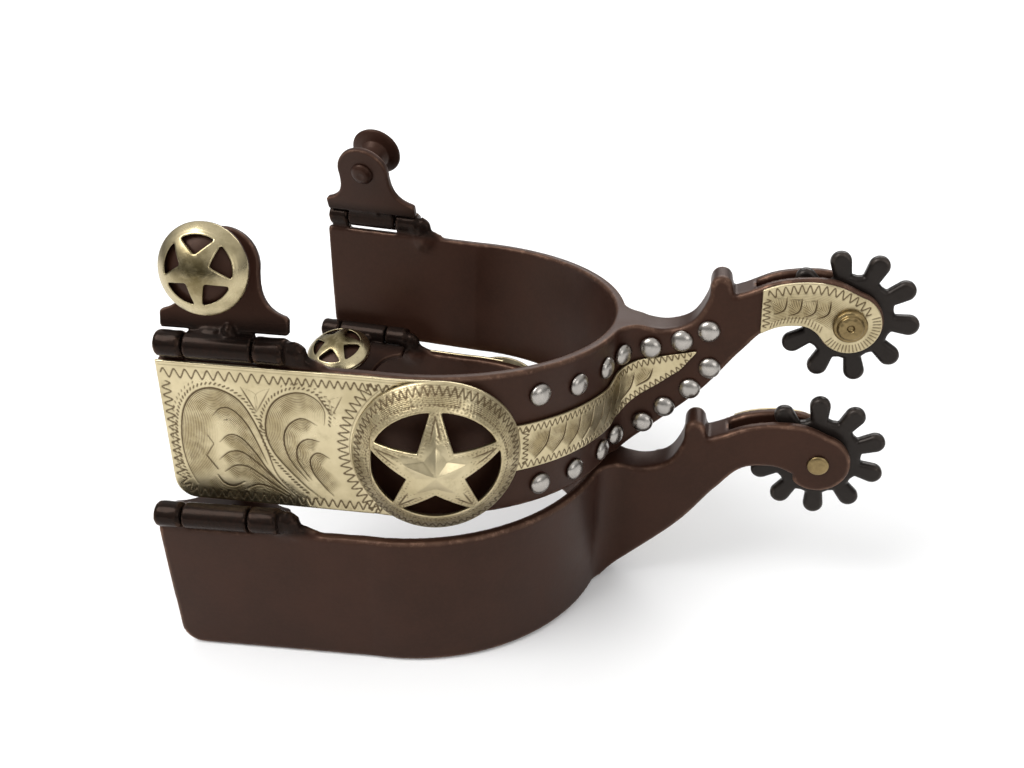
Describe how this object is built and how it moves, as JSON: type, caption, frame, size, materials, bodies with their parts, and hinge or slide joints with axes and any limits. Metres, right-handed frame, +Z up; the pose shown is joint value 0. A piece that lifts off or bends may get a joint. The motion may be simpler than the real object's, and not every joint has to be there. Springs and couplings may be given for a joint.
{
  "type": "spurs",
  "caption": "Pair of western show spurs: U-shaped heel bands with swinging strap buttons, star conchos, brass overlays, dome studs and shanks with spinning rowels.",
  "frame": {"origin": "on the ground, in the middle of the footprint of the pair; the left spur stands on the right one", "axes": "+Z up, +X from the toe to the rowel, +Y to the right spur's decorated outer side"},
  "size_m": [0.164, 0.1156, 0.1039],
  "materials": {
    "browned_steel": "satin antique brown over forged steel",
    "engraved_brass": "polished pale brass, hand engraved",
    "button_brass": "worn satin brass",
    "pin_brass": "aged brass",
    "pin_steel": "dark oiled steel",
    "rowel_iron": "dark satin",
    "stud_silver": "polished dome"
  },
  "bodies": {
    "right_spur": {"right_heel_band": "browned_steel", "right_band_overlay": "engraved_brass", "right_leaf_overlay": "engraved_brass", "right_neck_overlay": "engraved_brass", "right_star_concho": "engraved_brass", "right_rowel_pin": "pin_brass", "right_outer_hinge_pin": "pin_steel", "right_inner_hinge_pin": "pin_steel", "right_stud_upper_1": "stud_silver", "right_stud_upper_2": "stud_silver", "right_stud_upper_3": "stud_silver", "right_stud_upper_4": "stud_silver", "right_stud_upper_5": "stud_silver", "right_stud_upper_6": "stud_silver", "right_stud_upper_7": "stud_silver", "right_stud_lower_1": "stud_silver", "right_stud_lower_2": "stud_silver", "right_stud_lower_3": "stud_silver", "right_stud_lower_4": "stud_silver", "right_stud_lower_5": "stud_silver", "right_stud_lower_6": "stud_silver", "right_stud_lower_7": "stud_silver", "right_stud_lower_8": "stud_silver"},
    "right_rowel_wheel": {"right_rowel": "rowel_iron"},
    "right_outer_strap_button": {"right_outer_tab": "browned_steel", "right_outer_button": "browned_steel", "right_outer_star_cap": "button_brass"},
    "right_inner_strap_button": {"right_inner_tab": "browned_steel", "right_inner_button": "browned_steel"},
    "left_spur": {"left_heel_band": "browned_steel", "left_band_overlay": "engraved_brass", "left_leaf_overlay": "engraved_brass", "left_neck_overlay": "engraved_brass", "left_star_concho": "engraved_brass", "left_rowel_pin": "pin_brass", "left_outer_hinge_pin": "pin_steel", "left_inner_hinge_pin": "pin_steel", "left_stud_upper_1": "stud_silver", "left_stud_upper_2": "stud_silver", "left_stud_upper_3": "stud_silver", "left_stud_upper_4": "stud_silver", "left_stud_upper_5": "stud_silver", "left_stud_upper_6": "stud_silver", "left_stud_upper_7": "stud_silver", "left_stud_lower_1": "stud_silver", "left_stud_lower_2": "stud_silver", "left_stud_lower_3": "stud_silver", "left_stud_lower_4": "stud_silver", "left_stud_lower_5": "stud_silver", "left_stud_lower_6": "stud_silver", "left_stud_lower_7": "stud_silver", "left_stud_lower_8": "stud_silver"},
    "left_rowel_wheel": {"left_rowel": "rowel_iron"},
    "left_outer_strap_button": {"left_outer_tab": "browned_steel", "left_outer_button": "browned_steel", "left_outer_star_cap": "button_brass"},
    "left_inner_strap_button": {"left_inner_tab": "browned_steel", "left_inner_button": "browned_steel"}
  },
  "joints": [
    {"name": "left_spur_lift", "type": "slide", "parent": "right_spur", "child": "left_spur", "axis": [0, 0, 1], "range_m": [0, 0.12]},
    {"name": "right_rowel_spin", "type": "hinge", "parent": "right_spur", "child": "right_rowel_wheel", "pos_m": [0.06358, -0.00487, 0.04063], "axis": [0, 0.9999, 0.0164], "continuous": true},
    {"name": "left_rowel_spin", "type": "hinge", "parent": "left_spur", "child": "left_rowel_wheel", "pos_m": [0.06618, 0.00236, 0.074], "axis": [0.0026, 0.9997, -0.0227], "continuous": true},
    {"name": "right_outer_button_swing", "type": "hinge", "parent": "right_spur", "child": "right_outer_strap_button", "pos_m": [-0.0677, 0.04416, 0.03913], "axis": [0.9965, -0.0839, -0.0014], "range_deg": [-69, 3]},
    {"name": "right_inner_button_swing", "type": "hinge", "parent": "right_spur", "child": "right_inner_strap_button", "pos_m": [-0.0677, -0.05382, 0.03752], "axis": [-0.9965, -0.0839, -0.0014], "range_deg": [-8, 12]},
    {"name": "left_outer_button_swing", "type": "hinge", "parent": "left_spur", "child": "left_outer_strap_button", "pos_m": [-0.06524, -0.04626, 0.07582], "axis": [-0.9964, -0.0808, 0.0247], "range_deg": [-120, 95]},
    {"name": "left_inner_button_swing", "type": "hinge", "parent": "left_spur", "child": "left_inner_strap_button", "pos_m": [-0.06499, 0.0517, 0.0736], "axis": [0.996, -0.087, -0.0209], "range_deg": [-125, 86]}
  ]
}
